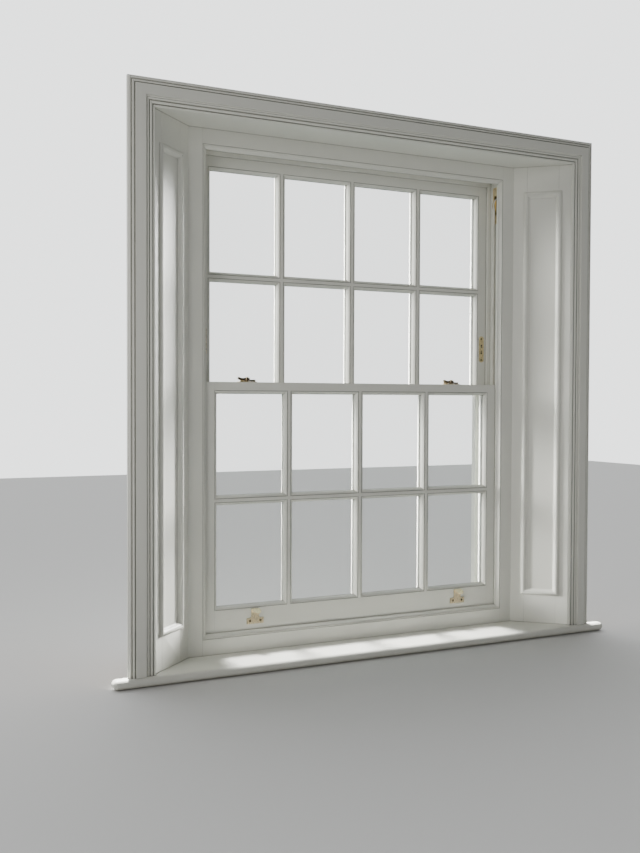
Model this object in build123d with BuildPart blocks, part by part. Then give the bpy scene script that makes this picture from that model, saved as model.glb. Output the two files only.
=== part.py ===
from build123d import *
import os
from math import atan, cos, degrees, hypot, radians, sin, tan

os.makedirs("parts", exist_ok=True)

# A double-hung sash window in its box frame, with splayed reveal linings, architraves and window
# board. X runs across the window, Y outdoors, Z up. The origin is on the room face of the box
# frame, in the middle of the window, level with the underside of the sill. Sizes are millimetres.

# Daylight opening between the pulley stiles, and the level the lower sash stands at
daylight_width = 1000.0
daylight_height = 1361.6
sill_bed = 69.0

# Sashes: both are four panes wide and two panes high
sash_thickness = 45.0
sash_clearance = 1.5            # play between a sash and the beads, stiles and head around it
bed_gap = 0.5                   # air under the closed lower sash
panes_across = 4
stile_width = 49.0
bottom_rail_height = 83.1
top_rail_height = 49.5
meeting_rail_height = 33.0
bar_width = 28.0
moulding_width = 9.4            # of the quirked ovolo on every glazed edge
moulding_depth = 14.2
quirk_width = 1.6
quirk_depth = 2.6
glass_line = 15.5               # from the room face of a sash to its glass
glass_thickness = 4.0
glass_play = 1.0                # between a pane's edge and its rebate
putty_depth = 19.0
bevel_reach = 53.5              # how far the lower meeting rail reaches outdoors at its top
bevel_slope = 0.2               # lean of the meeting joint, per unit of height
bevel_gap = 0.6                 # air in the meeting joint
sash_travel = 560.0

# Beads and linings of the box frame
lining_thickness = 16.0
parting_thickness = 8.0
parting_projection = 12.0
groove_depth = 8.0
staff_width = 12.5
staff_round = 9.0
pulley_stile_thickness = 20.0
box_width = 72.0                # clear width inside a weight box
back_thickness = 8.0
outer_thickness = 18.0
outer_projection = 16.0
head_thickness = 22.0
slip_thickness = 4.0
slip_play = 4.0

# Sill and window board
sill_step = 6.0                 # the sinking behind the lower sash
sill_fall = 8.0                 # slope of the weathering, in degrees
sill_nose = 42.0                # how far the sill runs past the outer linings
drip_width = 6.0
drip_depth = 5.0
board_thickness = 25.0
board_nosing = 27.0             # how far the board runs past the wall plane
board_horns = (41.0, 56.0)      # how far it runs past the left and the right architrave
board_corner = 13.0
tongue_depth = 8.0
tongue_thickness = 9.0

# Splayed reveal
reveal_depth = 120.0            # from the box frame to the wall plane
reveal_spread = 131.4           # how far each side opens out over that depth
lining_face = 40.9              # flat of the inner lining that shows beside the daylight
soffit_rise = 42.0              # soffit above the daylight
splay_thickness = 18.0
splay_inner_stile = 42.7
splay_outer_stile = 37.4
splay_bottom_rail = 100.0
splay_top_rail = 90.0
panel_sinking = 4.0
panel_thickness = 7.0
panel_tongue = 6.0
panel_play = 0.5
panel_moulding = 10.5           # how far the moulding laps the frame, and how far the panel
panel_moulding_rise = 6.5       # of its crest in front of the frame
architrave_width = 71.9
architrave_thickness = 19.0
architrave_seat = 28.0          # flat along its inner edge that lies on the lining
architrave_rim = 12.0           # flat along its outer edge that lies on the wall
architrave_hollow = 1.5         # depth of the hollow between them

# Pulleys, cords and weights
cord_radius = 3.5
cord_inset = 5.5                # from the pulley stile's face to the cord that runs down to the sash
pulley_pitch = 26.0             # from the axle to the cord's middle
pulley_rim = 28.5
pulley_width = 12.0
pulley_drop = 75.0              # axle below the head
groove_ease = 0.4               # between a cord and its groove in a pulley
axle_radius = 4.0
bore_ease = 0.3
face_plate = (28.0, 116.0, 2.5)  # width, height and thickness
cheek_gap = 1.2
cheek_thickness = 2.0
cheek_reach = 40.0
cheek_height = 72.0
mortise_play = 1.8
cord_slot_width = 18.0          # ploughed in the edges of the sashes
cord_slot_depth = 12.0
knot_radius = 7.5
knot_hole_radius = 9.5
lower_knot_drop = 200.0         # knot below the sash's top
upper_knot_drop = 280.0
weight_radius = 22.0
weight_length = 545.0
weight_hang = 62.0              # least drop from the axle to a weight's top
eye_ease = 0.3                  # between a cord and the eye of its weight
eye_depth = 28.0
weight_knot_radius = 6.5

# Pockets in the pulley stiles
pocket_foot = 120.0
pocket_height = 390.0
pocket_width = 38.0
pocket_play = 0.4

# Brass fittings
lift_insets = (112.5, 101.5)    # of the left and the right lift, from the glass beside the stile
lift_foot = 97.5                # above the underside of the sill
lift_plate = (51.0, 16.5)
lift_neck = 23.0
lift_shoulder = 5.0
lift_height = 44.0
lift_thickness = 2.6
lift_bend = 5.0
lift_tab = (24.0, 21.0)         # width and length of the finger tab
lift_droop = 26.0               # slope of the tab below level, in degrees
fastener_inset = 102.5          # of a fastener, from the glass beside the stile
fastener_set_back = 38.5        # pivot behind the lower sash's room face
fastener_plate = (54.0, 20.0, 2.5)
pivot_radius = 3.0
hub_radius = 8.0
tongue_reach = 26.0
thumb_reach = 28.0
lever_gap = 0.5
keeper_plate = (22.0, 15.0, 2.0)
keeper_lip = 2.5
stop_offset = 23.3              # of a sash stop, from the glass out over the stile
stop_level = 115.6              # above the meeting rail's top
stop_plate = (18.5, 84.0, 2.5)
stop_sinking = 1.7
keyhole = (3.0, 12.5, 8.5)      # radius of its eye, the eye's place above the middle, and its slot

# Lines that follow from the sizes above
half_daylight = daylight_width / 2
head_level = sill_bed + daylight_height
half_sash = half_daylight - sash_clearance
lower_face = lining_thickness + sash_clearance
parting_face = lower_face + sash_thickness + sash_clearance
upper_face = parting_face + parting_thickness + sash_clearance
outer_face = upper_face + sash_thickness + sash_clearance
frame_back = outer_face + outer_thickness
box_inner = half_daylight + pulley_stile_thickness
box_outer = box_inner + box_width
frame_half = box_outer + back_thickness
soffit_level = head_level + soffit_rise
lining_top = soffit_level + splay_thickness
lower_foot = sill_bed + bed_gap
upper_top = head_level - sash_clearance
glazed_height = (upper_top - lower_foot - bottom_rail_height - top_rail_height - meeting_rail_height) / 2
meeting_foot = lower_foot + bottom_rail_height + glazed_height
meeting_top = meeting_foot + meeting_rail_height
half_glazed = half_sash - stile_width
pane_width = (2 * half_glazed - (panes_across - 1) * bar_width) / panes_across
pane_height = (glazed_height - bar_width) / 2
pane_pitch = pane_width + bar_width
rail_end = half_glazed + moulding_width
meeting_reach = half_daylight - parting_projection - sash_clearance
pulley_level = head_level - pulley_drop
cord_line = half_daylight - cord_inset
axle_line = cord_line + pulley_pitch
weight_line = axle_line + pulley_pitch
lower_middle = lower_face + sash_thickness / 2
upper_middle = upper_face + sash_thickness / 2
splay_width = hypot(reveal_spread, reveal_depth)
splay_foot = half_daylight + lining_face
fastener_places = (fastener_inset - half_glazed, half_glazed - fastener_inset)
lift_places = (lift_insets[0] - half_glazed, half_glazed - lift_insets[1])
stop_centre = half_glazed + stop_offset
slant = splay_thickness * splay_width / reveal_depth
wall_opening = splay_foot + reveal_spread

INDOORS, OUTDOORS, LEFT, RIGHT = (0, -1, 0), (0, 1, 0), (-1, 0, 0), (1, 0, 0)


def run(origin, across, depth=OUTDOORS):
    """Plane of a profile: its x runs across the member, its y into the depth."""
    across, depth = Vector(*across), Vector(*depth)
    return Plane(origin, x_dir=across, z_dir=across.cross(depth))


def mitred(section, plane, length, start, end):
    """Add a length of moulding, between two lines across it, whose ends are cut at 45 degrees."""
    with BuildSketch(Plane(plane.origin, x_dir=plane.x_dir, z_dir=plane.y_dir)) as outline:
        with BuildLine():
            Polyline((start, start - length / 2), (end, end - length / 2), (end, length / 2 - end),
                     (start, length / 2 - start), close=True)
        make_face()
    moulding = extrude(section, amount=length, both=True, mode=Mode.PRIVATE)
    add(moulding & extrude(outline.sketch, amount=100, both=True, mode=Mode.PRIVATE))


def block(x, y, z, mode=Mode.ADD):
    """Square-edged piece between pairs of coordinates."""
    with BuildSketch(Plane((0, 0, z[0]))) as outline:
        with Locations(((x[0] + x[1]) / 2, (y[0] + y[1]) / 2)):
            Rectangle(x[1] - x[0], y[1] - y[0])
    extrude(outline.sketch, amount=z[1] - z[0], mode=mode)


def mirrored(shape):
    """Add the same piece on the other side of the window."""
    mirror(shape, about=Plane.YZ)


# The sill is one hardwood section: a flat bed, a sinking behind the lower sash, the weathered
# slope and a throated drip under the nose.
nose_face = frame_back + sill_nose
slope_top = sill_bed - sill_step
nose_top = slope_top - (nose_face - parting_face) * tan(radians(sill_fall))


with BuildSketch(Plane.YZ) as sill_section:
    with BuildLine():
        Polyline((0, 0), (nose_face, 0), (nose_face, nose_top), (parting_face, slope_top),
                 (parting_face, sill_bed), (0, sill_bed), close=True)
    make_face()


with BuildPart() as sill:
    extrude(sill_section.sketch, amount=frame_half, both=True)
    fillet(sill.edges().filter_by(Axis.X).group_by(Axis.Y)[-1], radius=4)
    with BuildSketch(Plane.YZ):
        with Locations((nose_face - 3 * drip_width, 0)):
            SlotCenterToCenter(2 * (drip_depth - drip_width / 2), drip_width, rotation=90)
    extrude(amount=frame_half, both=True, mode=Mode.SUBTRACT)
    block((-half_daylight, half_daylight), (0, tongue_depth),
          ((board_thickness - tongue_thickness) / 2, (board_thickness + tongue_thickness) / 2),
          Mode.SUBTRACT)
    for side in (-1, 1):
        notch = sorted((side * half_daylight, side * frame_half))
        block(notch, (0, lining_thickness), (0, sill_bed), Mode.SUBTRACT)
sill.part.label = "sill"

with BuildPart() as head:
    block((-frame_half, frame_half), (lining_thickness, outer_face),
          (head_level, head_level + head_thickness))
    block((-half_daylight, half_daylight), (parting_face, parting_face + parting_thickness),
          (head_level, head_level + groove_depth), Mode.SUBTRACT)
head.part.label = "head"


def above_sill():
    """Scribe the foot of the piece in hand over the sill."""
    extrude(sill_section.sketch, amount=2 * frame_half, both=True, mode=Mode.SUBTRACT)


# Pulley stiles are grooved for the parting beads. Each has two mortises with a sinking for the
# pulley's face plate, and a pocket through which the weights are reached.
pocket = ((half_daylight, box_inner), (lower_middle - pocket_width / 2, lower_middle + pocket_width / 2),
          (sill_bed + pocket_foot, sill_bed + pocket_foot + pocket_height))
pulley_places = [Plane((half_daylight, middle, pulley_level), x_dir=OUTDOORS, z_dir=RIGHT)
                 for middle in (lower_middle, upper_middle)]
mortise_width = pulley_width + 2 * (cheek_gap + cheek_thickness + mortise_play)

with BuildPart() as right_pulley_stile:
    block((half_daylight, box_inner), (lining_thickness, outer_face), (0, head_level))
    above_sill()
    block((half_daylight, half_daylight + groove_depth), (parting_face, parting_face + parting_thickness),
          (0, head_level), Mode.SUBTRACT)
    block(*pocket, Mode.SUBTRACT)
    for place in pulley_places:
        with BuildSketch(place):
            RectangleRounded(face_plate[0], face_plate[1], 6)
        extrude(amount=face_plate[2], mode=Mode.SUBTRACT)
        with BuildSketch(place):
            Rectangle(mortise_width, cheek_height + 2 * mortise_play)
        extrude(amount=pulley_stile_thickness, mode=Mode.SUBTRACT)

with BuildPart() as pulley_stiles:
    add(right_pulley_stile.part)
    mirrored(right_pulley_stile.part)
pulley_stiles.part.label = "pulley_stiles"

with BuildPart() as right_pocket_piece:
    block(*[(low + play, high - play) for (low, high), play in zip(pocket, (0, pocket_play, pocket_play))])

with BuildPart() as pocket_pieces:
    add(right_pocket_piece.part)
    mirrored(right_pocket_piece.part)
pocket_pieces.part.label = "pocket_pieces"

# Linings close the box: inner ones towards the room, outer ones stand in front of the upper
# sash, and thin back linings close it at the masonry.
with BuildPart() as inner_linings:
    for side in (-1, 1):
        block(sorted((side * half_daylight, side * frame_half)), (0, lining_thickness), (0, lining_top))
inner_linings.part.label = "inner_linings"

with BuildPart() as inner_lining_head:
    block((-half_daylight, half_daylight), (0, lining_thickness), (head_level, lining_top))
inner_lining_head.part.label = "inner_lining_head"

with BuildPart() as outer_linings:
    for side in (-1, 1):
        block(sorted((side * (half_daylight - outer_projection), side * frame_half)),
              (outer_face, frame_back), (0, head_level + head_thickness))
    above_sill()
outer_linings.part.label = "outer_linings"

with BuildPart() as outer_lining_head:
    block((outer_projection - half_daylight, half_daylight - outer_projection), (outer_face, frame_back),
          (head_level - outer_projection, head_level + head_thickness))
outer_lining_head.part.label = "outer_lining_head"

with BuildPart() as back_linings:
    for side in (-1, 1):
        block(sorted((side * box_outer, side * frame_half)), (lining_thickness, outer_face),
              (0, head_level))
    above_sill()
back_linings.part.label = "back_linings"

slip_middle = parting_face + parting_thickness / 2
with BuildPart() as parting_slips:
    for side in (-1, 1):
        block(sorted((side * (box_inner + slip_play), side * (box_outer - slip_play))),
              (slip_middle - slip_thickness / 2, slip_middle + slip_thickness / 2),
              (sill_bed + pocket_foot, head_level))
parting_slips.part.label = "parting_slips"

# Parting beads stand half in their grooves and keep the two sashes apart.
with BuildPart() as parting_beads:
    for side in (-1, 1):
        block(sorted((side * (half_daylight - parting_projection), side * (half_daylight + groove_depth))),
              (parting_face, parting_face + parting_thickness), (0, head_level))
    above_sill()
parting_beads.part.label = "parting_beads"

with BuildPart() as parting_bead_head:
    block((parting_projection - half_daylight, half_daylight - parting_projection),
          (parting_face, parting_face + parting_thickness),
          (head_level - parting_projection, head_level + groove_depth))
parting_bead_head.part.label = "parting_bead_head"


# Staff beads are mitred round the opening on the room side. The corner towards the room is
# rounded and a quirk parts the bead from the lining.
def staff_bead(plane, length):
    quirk = 1.6
    with BuildSketch(plane) as section:
        with BuildLine():
            Polyline((staff_width, staff_round), (staff_width, lining_thickness), (0, lining_thickness),
                     (0, quirk), (quirk, quirk), (quirk, 0), (staff_width - staff_round, 0))
            RadiusArc((staff_width - staff_round, 0), (staff_width, staff_round), staff_round)
        make_face()
    mitred(section.sketch, plane, length, 0, staff_width)


middle_level = (sill_bed + head_level) / 2
with BuildPart() as staff_beads:
    staff_bead(run((-half_daylight, 0, middle_level), RIGHT), daylight_height)
    staff_bead(run((half_daylight, 0, middle_level), LEFT), daylight_height)
staff_beads.part.label = "staff_beads"

with BuildPart() as staff_bead_head:
    staff_bead(run((0, 0, head_level), (0, 0, -1)), daylight_width)
staff_bead_head.part.label = "staff_bead_head"

with BuildPart() as staff_bead_bottom:
    staff_bead(run((0, 0, sill_bed), (0, 0, 1)), daylight_width)
staff_bead_bottom.part.label = "staff_bead_bottom"

# Each side of the splayed reveal is a framed lining: two stiles, two rails and a sunk flat panel.
# A raised moulding is mitred round it and covers the joint of frame and panel.
along = Vector(reveal_spread, -reveal_depth, 0) / splay_width
behind = Vector(reveal_depth, reveal_spread, 0) / splay_width
splay_corner = Vector(splay_foot, 0, 0)
stile_edge = splay_width - splay_outer_stile
opening_width = stile_edge - splay_inner_stile
opening_foot = board_thickness + splay_bottom_rail
opening_top = soffit_level - splay_top_rail


def splay_board(corners, low, high, mode=Mode.ADD):
    """Upright board given by its corners in plan, each as (distance along, depth behind)."""
    with BuildSketch(Plane.XY.offset(low)) as outline:
        with BuildLine():
            Polyline(*[tuple(splay_corner + along * u + behind * v)[:2] for u, v in corners], close=True)
        make_face()
    extrude(outline.sketch, amount=high - low, mode=mode)


bevel = splay_thickness * reveal_spread / reveal_depth
groove_front, groove_back = panel_sinking, panel_sinking + panel_thickness


def groove_round_panel():
    """Groove the framing in hand for the edges of its panel."""
    reach = panel_tongue + panel_play
    splay_board([(splay_inner_stile - reach, groove_front), (stile_edge + reach, groove_front),
                 (stile_edge + reach, groove_back), (splay_inner_stile - reach, groove_back)],
                opening_foot - reach, opening_top + reach, Mode.SUBTRACT)


with BuildPart() as splay_stiles_right:
    splay_board([(0, 0), (splay_inner_stile, 0), (splay_inner_stile, splay_thickness),
                 (bevel, splay_thickness)], board_thickness, soffit_level)
    splay_board([(stile_edge, 0), (splay_width, 0), (splay_width + bevel, splay_thickness),
                 (stile_edge, splay_thickness)], board_thickness, soffit_level)
    groove_round_panel()
splay_stiles_right.part.label = "splay_stiles_right"

with BuildPart() as splay_rails_right:
    for low, high in ((board_thickness, opening_foot), (opening_top, soffit_level)):
        splay_board([(splay_inner_stile, 0), (stile_edge, 0), (stile_edge, splay_thickness),
                     (splay_inner_stile, splay_thickness)], low, high)
    groove_round_panel()
splay_rails_right.part.label = "splay_rails_right"

with BuildPart() as splay_panel_right:
    inner_edge, outer_edge = splay_inner_stile - panel_tongue, stile_edge + panel_tongue
    splay_board([(inner_edge, groove_front), (outer_edge, groove_front), (outer_edge, groove_back),
                 (inner_edge, groove_back)], opening_foot - panel_tongue, opening_top + panel_tongue)
splay_panel_right.part.label = "splay_panel_right"


def panel_mould(middle, across, length):
    """One mitred length: a round back over the frame, a quirk at the crest, an ogee to the panel."""
    plane = run(middle, across, behind)
    lap, crest, toe = panel_moulding, -panel_moulding_rise, panel_sinking - 1
    with BuildSketch(plane) as section:
        with BuildLine():
            Polyline((0, 0), (-lap, 0), (-lap, -1))
            ThreePointArc((-lap, -1), (0.75 * -lap, 0.66 * crest), (-2.5, crest))
            Polyline((-2.5, crest), (-1, crest), (-1, crest + 1.2), (0.2, crest + 1.2))
            Spline((0.2, crest + 1.2), (0.45 * lap, 0.45 * (crest + toe)), (lap - 1, toe),
                   tangents=((1, 0.2), (1, 0.1)))
            Polyline((lap - 1, toe), (lap, toe), (lap, panel_sinking), (0, panel_sinking), (0, 0))
        make_face()
    mitred(section.sketch, plane, length, -lap, lap)


opening_height = opening_top - opening_foot
with BuildPart() as splay_moulding_right:
    centre = splay_corner + along * (splay_inner_stile + opening_width / 2) \
        + Vector(0, 0, (opening_foot + opening_top) / 2)
    panel_mould(centre - along * (opening_width / 2), along, opening_height)
    panel_mould(centre + along * (opening_width / 2), along * -1, opening_height)
    panel_mould(centre - Vector(0, 0, opening_height / 2), (0, 0, 1), opening_width)
    panel_mould(centre + Vector(0, 0, opening_height / 2), (0, 0, -1), opening_width)
splay_moulding_right.part.label = "splay_moulding_right"

with BuildPart() as splay_stiles_left:
    mirrored(splay_stiles_right.part)
splay_stiles_left.part.label = "splay_stiles_left"

with BuildPart() as splay_rails_left:
    mirrored(splay_rails_right.part)
splay_rails_left.part.label = "splay_rails_left"

with BuildPart() as splay_panel_left:
    mirrored(splay_panel_right.part)
splay_panel_left.part.label = "splay_panel_left"

with BuildPart() as splay_moulding_left:
    mirrored(splay_moulding_right.part)
splay_moulding_left.part.label = "splay_moulding_left"


def splayed_plan():
    """Outline in plan of the boards that lie over and under the reveal."""
    Polyline((-wall_opening - slant, -reveal_depth), (-splay_foot - slant, 0),
             (splay_foot + slant, 0), (wall_opening + slant, -reveal_depth))


with BuildPart() as soffit_lining:
    with BuildSketch(Plane.XY.offset(soffit_level)):
        with BuildLine():
            splayed_plan()
            Line((wall_opening + slant, -reveal_depth), (-wall_opening - slant, -reveal_depth))
        make_face()
    extrude(amount=splay_thickness)
soffit_lining.part.label = "soffit_lining"

# The window board runs under the linings to the sill, tongued into it. Its nosing is half round
# and returns round the horns, which carry the architraves.
board_left, board_right = [wall_opening + architrave_width + horn for horn in board_horns]
board_front = -reveal_depth - board_nosing
with BuildPart() as window_board:
    with BuildSketch():
        with BuildLine():
            splayed_plan()
            Polyline((wall_opening + slant, -reveal_depth), (board_right, -reveal_depth),
                     (board_right, board_front), (-board_left, board_front), (-board_left, -reveal_depth),
                     (-wall_opening - slant, -reveal_depth))
        make_face()
        fillet(vertices().group_by(Axis.Y)[0], radius=board_corner)
    extrude(amount=board_thickness)
    rims = [edge for edge in edges().group_by(Axis.Z)[0] + edges().group_by(Axis.Z)[-1]
            if edge.center().Y < -reveal_depth - 0.1]
    fillet(rims, radius=board_thickness / 2 - 0.1)
    block((0.5 - half_daylight, half_daylight - 0.5), (0, tongue_depth - 0.5),
          ((board_thickness - tongue_thickness) / 2, (board_thickness + tongue_thickness) / 2))
window_board.part.label = "window_board"


# The architrave is one moulding, from the opening outwards: a bead, a second bead, a light
# bead with a step, the broad flat, and two beads that fall back to the outer edge. Its back is
# hollowed, so that it sits tight along both edges.
def architrave(plane):
    edge, flat, rim = 8.5, architrave_thickness, architrave_width
    with BuildSketch(plane) as section:
        with BuildLine():
            Line((0, 0), (0, edge))
            ThreePointArc((0, edge), (2.7, 11), (5.5, edge))
            Polyline((5.5, edge), (6.5, 7.6), (7.5, 9))
            ThreePointArc((7.5, 9), (11, 13.4), (14.5, 10.4))
            Polyline((14.5, 10.4), (15.7, 9.6), (17, 11))
            ThreePointArc((17, 11), (19.5, 14.6), (22, 12.6))
            Polyline((22, 12.6), (22.4, 13.6), (26, 14.2), (26.6, flat), (rim - 19.3, flat),
                     (rim - 17.9, flat - 5.4), (rim - 16.7, flat - 5))
            ThreePointArc((rim - 16.7, flat - 5), (rim - 13.9, flat - 1.8), (rim - 11.2, flat - 5.4))
            Polyline((rim - 11.2, flat - 5.4), (rim - 9.9, flat - 7.4), (rim - 8.7, flat - 7))
            ThreePointArc((rim - 8.7, flat - 7), (rim - 5.7, flat - 4.4), (rim - 2.7, flat - 8))
            Polyline((rim - 2.7, flat - 8), (rim, flat - 9), (rim, 0), (rim - architrave_rim, 0),
                     (rim - architrave_rim, architrave_hollow), (architrave_seat, architrave_hollow),
                     (architrave_seat, 0), (0, 0))
        make_face()
    return section.sketch


architrave_top = soffit_level + architrave_width
with BuildPart() as architrave_right:
    extrude(architrave(run((wall_opening, -reveal_depth, board_thickness), RIGHT, INDOORS)),
            amount=board_thickness - architrave_top)
    with BuildSketch(Plane.XZ.offset(reveal_depth)):
        with BuildLine():
            outside = wall_opening + architrave_width
            Polyline((wall_opening, board_thickness), (outside, board_thickness),
                     (outside, architrave_top), (wall_opening, soffit_level), close=True)
        make_face()
    extrude(amount=2 * architrave_thickness, both=True, mode=Mode.INTERSECT)
architrave_right.part.label = "architrave_right"

with BuildPart() as architrave_left:
    mirrored(architrave_right.part)
architrave_left.part.label = "architrave_left"

with BuildPart() as architrave_head:
    extrude(architrave(run((0, -reveal_depth, soffit_level), (0, 0, 1), INDOORS)),
            amount=wall_opening + architrave_width, both=True)
    with BuildSketch(Plane.XZ.offset(reveal_depth)):
        with BuildLine():
            Polyline((-wall_opening, soffit_level), (wall_opening, soffit_level),
                     (wall_opening + architrave_width, architrave_top),
                     (-wall_opening - architrave_width, architrave_top), close=True)
        make_face()
    extrude(amount=2 * architrave_thickness, both=True, mode=Mode.INTERSECT)
architrave_head.part.label = "architrave_head"

# A pulley case is a face plate let in flush, with two cheeks that reach into the box and carry
# the fixed axle. The wheel turns on it and is grooved for the cord.
cheek_inside = pulley_width / 2 + cheek_gap
with BuildPart() as right_pulley_cases:
    for place in pulley_places:
        with BuildSketch(place):
            RectangleRounded(face_plate[0], face_plate[1], 6)
            Rectangle(2 * cheek_inside, cheek_height - 10, mode=Mode.SUBTRACT)
        extrude(amount=face_plate[2])
        with BuildSketch(place.offset(face_plate[2])):
            for side in (-1, 1):
                with Locations((side * (cheek_inside + cheek_thickness / 2), 0)):
                    Rectangle(cheek_thickness, cheek_height)
        extrude(amount=cheek_reach - face_plate[2])
        axle = Plane((axle_line, place.origin.Y, pulley_level), z_dir=OUTDOORS)
        with BuildSketch(axle):
            Circle(axle_radius)
        extrude(amount=cheek_inside + cheek_thickness / 2, both=True)

with BuildPart() as pulley_cases:
    add(right_pulley_cases.part)
    mirrored(right_pulley_cases.part)
pulley_cases.part.label = "pulley_cases"


wheels = []
for name, side, middle in (("lower_pulley_left", -1, lower_middle),
                           ("lower_pulley_right", 1, lower_middle),
                           ("upper_pulley_left", -1, upper_middle),
                           ("upper_pulley_right", 1, upper_middle)):
    with BuildPart() as wheel:
        with BuildSketch(Plane((side * axle_line, middle, pulley_level), x_dir=RIGHT, z_dir=(0, 0, 1))):
            with BuildLine():
                half, lip, bore = pulley_width / 2, cord_radius + groove_ease, axle_radius + bore_ease
                Polyline((pulley_pitch, lip), (pulley_rim, lip), (pulley_rim, half), (bore, half),
                         (bore, -half), (pulley_rim, -half), (pulley_rim, -lip), (pulley_pitch, -lip))
                ThreePointArc((pulley_pitch, -lip), (pulley_pitch - lip, 0), (pulley_pitch, lip))
            make_face()
        revolve(axis=Axis((side * axle_line, middle, pulley_level), OUTDOORS))
    wheel.part.label = name
    wheels.append(wheel)


# Sash members share one section: the flat face, a quirk, the ovolo, a fillet at the glass and a
# rebate behind it. Its x runs from the outer edge to the glass.
ovolo_width = moulding_width - quirk_width - 0.8
ovolo_crest = 0.6


def quirked_ovolo(arris, side=1):
    """Lines from the arris of a member's face to its fillet at the glass."""
    start, end = arris + side * quirk_width, arris + side * (quirk_width + ovolo_width)
    shoulder = (start + side * 0.71 * ovolo_width, moulding_depth - 0.71 * (moulding_depth - ovolo_crest))
    Polyline((arris, 0), (arris, quirk_depth), (start, quirk_depth), (start, ovolo_crest))
    ThreePointArc((start, ovolo_crest), shoulder, (end, moulding_depth))
    Polyline((end, moulding_depth), (arris + side * moulding_width, moulding_depth),
             (arris + side * moulding_width, glass_line), (arris, glass_line))


def sash_member(plane, width, back=((0.0, sash_thickness), (0.0, sash_thickness)), square=False):
    arris = width - moulding_width
    with BuildSketch(plane) as section:
        with BuildLine():
            if square:
                Polyline((0, back[0][0]), (width, back[1][0]), (width, glass_line), (arris, glass_line))
            else:
                Line((0, 0), (arris, 0))
                quirked_ovolo(arris)
            Polyline((arris, glass_line), (arris, back[1][1]), (0, back[0][1]), (0, back[0][0]))
        make_face()
    return section.sketch


def glazing_bar(plane):
    """Bar with a narrow flat nose, a quirked ovolo on each side and a web between the panes."""
    nose = bar_width / 2 - moulding_width
    with BuildSketch(plane) as section:
        with BuildLine():
            Line((-nose, 0), (nose, 0))
            for side in (-1, 1):
                quirked_ovolo(side * nose, side)
            Polyline((nose, glass_line), (nose, sash_thickness), (-nose, sash_thickness),
                     (-nose, glass_line))
        make_face()
    return section.sketch


def sash_stiles(face, foot, top, knot_drop):
    """Both stiles, with the cord's groove in the outer edge and a hole for its knot."""
    middle = (foot + top) / 2
    for side, inwards in ((-1, RIGHT), (1, LEFT)):
        extrude(sash_member(run((side * half_sash, face, middle), inwards), stile_width),
                amount=(top - foot) / 2, both=True)
    centre = face + sash_thickness / 2
    for side in (-1, 1):
        edge = sorted((side * half_sash, side * (half_sash - cord_slot_depth)))
        block(edge, (centre - cord_slot_width / 2, centre + cord_slot_width / 2), (top - knot_drop, top),
              Mode.SUBTRACT)
        with BuildSketch(Plane((side * half_sash, centre, top - knot_drop), z_dir=(-side, 0, 0))) as hole:
            Circle(knot_hole_radius)
        extrude(hole.sketch, amount=2 * cord_slot_depth, mode=Mode.SUBTRACT)


def clear_of(*others):
    """Scribe the ends of the piece in hand over its neighbours, and drop the scraps in their quirks."""
    for other in others:
        add(other.part, mode=Mode.SUBTRACT)
    for scrap in solids():
        if scrap.volume < quirk_width * quirk_depth * moulding_width:
            add(scrap, mode=Mode.SUBTRACT)


bar_lines = [(place - (panes_across - 2) / 2) * pane_pitch for place in range(panes_across - 1)]


def upright_bars(face, foot):
    for across in bar_lines:
        extrude(glazing_bar(run((across, face, foot + glazed_height / 2), RIGHT)),
                amount=glazed_height / 2 + moulding_width, both=True)


def cross_bar(face, foot):
    extrude(glazing_bar(run((0, face, foot + glazed_height / 2), (0, 0, 1))),
            amount=rail_end, both=True)


def pane_centres(foot):
    rows = (foot + pane_height / 2, foot + glazed_height - pane_height / 2)
    return [(place * pane_pitch, row) for row in rows
            for place in [column - (panes_across - 1) / 2 for column in range(panes_across)]]


def panes(face, foot):
    overlap = 2 * (moulding_width - glass_play)
    with BuildSketch(Plane.XZ.offset(-face - glass_line)) as outlines:
        with Locations(*pane_centres(foot)):
            Rectangle(pane_width + overlap, pane_height + overlap)
    extrude(outlines.sketch, amount=-glass_thickness)


def putty(face, foot):
    """Bevelled fillets that hold the panes from outdoors."""
    rebate = 2 * moulding_width
    back = face + glass_line + glass_thickness
    with BuildSketch(Plane.XZ.offset(-back)) as outlines:
        with Locations(*pane_centres(foot)):
            Rectangle(pane_width + rebate, pane_height + rebate)
    extrude(outlines.sketch, amount=-putty_depth)
    with BuildSketch(Plane.XZ.offset(-back)) as sights:
        with Locations(*pane_centres(foot)):
            Rectangle(pane_width, pane_height)
    slope = degrees(atan((moulding_width - 1) / putty_depth))
    extrude(sights.sketch, amount=-putty_depth, taper=-slope, mode=Mode.SUBTRACT)


def bevel_depth(level):
    """Depth of the meeting joint behind the lower sash's face, at a height above the sill."""
    return bevel_reach - bevel_slope * (meeting_top - level)


def shoulder_meeting_rail(face):
    """Stop the rail at the stiles, apart from its thicker part, which laps past them."""
    for side in (-1, 1):
        block(sorted((side * rail_end, side * frame_half)), (face, face + sash_thickness),
              (meeting_foot, meeting_top), Mode.SUBTRACT)


with BuildPart() as lower_sash_stiles:
    sash_stiles(lower_face, lower_foot, meeting_top, lower_knot_drop)
lower_sash_stiles.part.label = "lower_sash_stiles"

with BuildPart() as lower_bottom_rail:
    extrude(sash_member(run((0, lower_face, lower_foot), (0, 0, 1)), bottom_rail_height),
            amount=rail_end, both=True)
    clear_of(lower_sash_stiles)
lower_bottom_rail.part.label = "lower_bottom_rail"

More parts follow.
